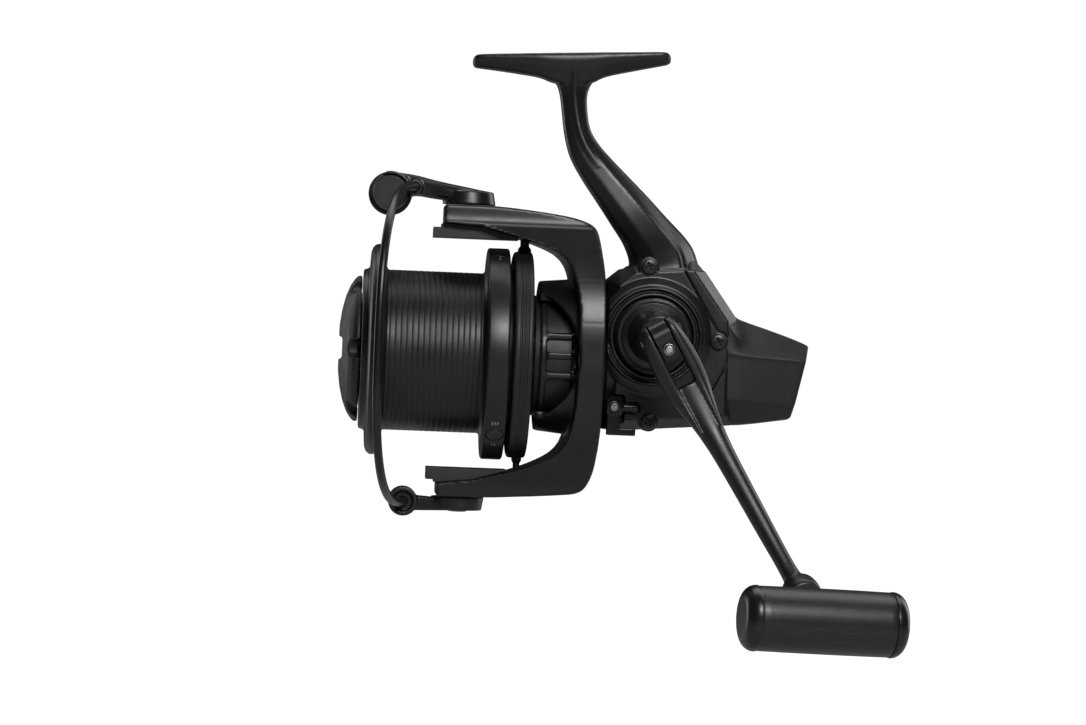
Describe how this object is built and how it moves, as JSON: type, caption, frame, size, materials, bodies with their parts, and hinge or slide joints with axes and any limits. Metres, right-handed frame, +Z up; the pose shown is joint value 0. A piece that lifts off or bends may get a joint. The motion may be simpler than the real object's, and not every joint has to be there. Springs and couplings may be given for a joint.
{
  "type": "spinning reel",
  "caption": "Fixed-spool spinning reel for long casting: foot and stem, geared body with folding crank, bail rotor and drag-braked spool.",
  "frame": {"origin": "middle of the rod foot's top face", "axes": "+X back along the reel, +Y away from the crank side, +Z up through the foot"},
  "size_m": [0.1913, 0.1679, 0.205],
  "materials": {
    "black_paint": "satin black enamel",
    "black_satin": "satin black",
    "black_plastic": "fine matte",
    "black_gloss": "gloss",
    "steel": "brushed",
    "brass": "machined",
    "wood": "oiled dark wood"
  },
  "bodies": {
    "reel_body": {"body": "black_paint", "side_cover": "black_paint", "rear_cover": "black_plastic", "body_screws": "black_satin", "dust_cap": "black_satin", "drive_bearings": "steel", "pinion_bearings": "steel", "clutch_ring": "steel", "worm_bearings": "brass", "guide_rod": "steel"},
    "reverse_switch": {"reverse_lever": "black_plastic", "lever_screw": "steel"},
    "drive": {"drive_gear": "brass", "handle_hub": "black_paint", "fold_pin": "steel", "hub_plunger": "steel"},
    "crank_arm": {"handle_arm": "black_paint", "knob_shaft": "steel"},
    "crank_knob": {"knob_neck": "black_plastic", "knob_barrel": "wood", "knob_caps": "black_gloss", "knob_bearings": "steel"},
    "rotor_unit": {"rotor": "black_paint", "pinion_gear": "brass", "clutch_sleeve": "steel", "rotor_nut": "steel", "guard_ring": "black_plastic", "arm_covers": "black_plastic", "bail_screws": "black_satin", "bail_spring": "steel"},
    "bail": {"bail_arm": "black_paint", "bail_holder": "black_paint", "bail_wire": "black_paint", "roller_screw": "black_satin"},
    "roller": {"line_roller": "steel"},
    "idler": {"idle_gear": "brass"},
    "worm": {"worm_shaft": "steel"},
    "shaft": {"main_shaft": "steel", "slider": "brass", "slider_pawl": "steel", "spool_seat": "brass", "drag_plates": "steel", "click_tongue": "steel", "drag_nut": "steel"},
    "spool_unit": {"spool": "black_paint", "spool_bearing": "steel", "drag_discs": "black_plastic", "drag_retainer": "steel", "click_wheel": "brass"},
    "clip_a": {"line_clip_a": "black_satin"},
    "clip_b": {"line_clip_b": "black_satin"},
    "clip_c": {"line_clip_c": "black_satin"},
    "drag": {"drag_knob": "black_plastic", "drag_spring": "steel"}
  },
  "joints": [
    {"name": "handle_crank", "type": "hinge", "parent": "reel_body", "child": "drive", "pos_m": [0.031, 0, -0.0996], "axis": [0, 1, 0], "continuous": true},
    {"name": "handle_fold", "type": "hinge", "parent": "drive", "child": "crank_arm", "pos_m": [0.031, -0.06, -0.0996], "axis": [-0.8678, 0, -0.497], "range_deg": [0, 90]},
    {"name": "knob_spin", "type": "hinge", "parent": "crank_arm", "child": "crank_knob", "pos_m": [0.07951, -0.0885, -0.18429], "axis": [0.1453, -0.9563, -0.2537], "continuous": true},
    {"name": "rotor_spin", "type": "hinge", "parent": "reel_body", "child": "rotor_unit", "pos_m": [0, 0, -0.108], "axis": [1, 0, 0], "continuous": true},
    {"name": "bail_flip", "type": "hinge", "parent": "rotor_unit", "child": "bail", "pos_m": [-0.0347, 0, -0.108], "axis": [0, 0, 1], "range_deg": [-110, 0], "stiffness_Nm_per_rad": 0.02, "springref_deg": 17.19},
    {"name": "roller_spin", "type": "hinge", "parent": "bail", "child": "roller", "pos_m": [-0.0628, 0, -0.0523], "axis": [0, 1, 0], "continuous": true},
    {"name": "idler_spin", "type": "hinge", "parent": "reel_body", "child": "idler", "pos_m": [0.02, 0.00413, -0.11514], "axis": [1, 0, 0], "continuous": true},
    {"name": "worm_spin", "type": "hinge", "parent": "reel_body", "child": "worm", "pos_m": [0.02, 0.01228, -0.11895], "axis": [1, 0, 0], "continuous": true},
    {"name": "spool_stroke", "type": "slide", "parent": "reel_body", "child": "shaft", "axis": [-1, 0, 0], "range_m": [0, 0.032]},
    {"name": "spool_slip", "type": "hinge", "parent": "shaft", "child": "spool_unit", "pos_m": [0, 0, -0.108], "axis": [1, 0, 0], "continuous": true},
    {"name": "drag_turn", "type": "hinge", "parent": "shaft", "child": "drag", "pos_m": [0, 0, -0.108], "axis": [1, 0, 0], "range_deg": [0, 330]},
    {"name": "reverse_flip", "type": "hinge", "parent": "reel_body", "child": "reverse_switch", "pos_m": [0.018, -0.023, -0.1249], "axis": [1, 0, 0], "range_deg": [-30, 0]},
    {"name": "clip_a_lift", "type": "slide", "parent": "spool_unit", "child": "clip_a", "axis": [0, -0.3256, 0.9455], "range_m": [0, 0.0006], "stiffness_N_per_m": 400},
    {"name": "clip_b_lift", "type": "slide", "parent": "spool_unit", "child": "clip_b", "axis": [0, -0.6561, -0.7547], "range_m": [0, 0.0006], "stiffness_N_per_m": 400},
    {"name": "clip_c_lift", "type": "slide", "parent": "spool_unit", "child": "clip_c", "axis": [0, 0.9816, -0.1908], "range_m": [0, 0.0006], "stiffness_N_per_m": 400}
  ],
  "couplings": [
    {"joint": "rotor_spin", "follows": "handle_crank", "ratio": -4.1},
    {"joint": "idler_spin", "follows": "handle_crank", "ratio": 3.4167},
    {"joint": "worm_spin", "follows": "handle_crank", "ratio": -3.4167}
  ]
}
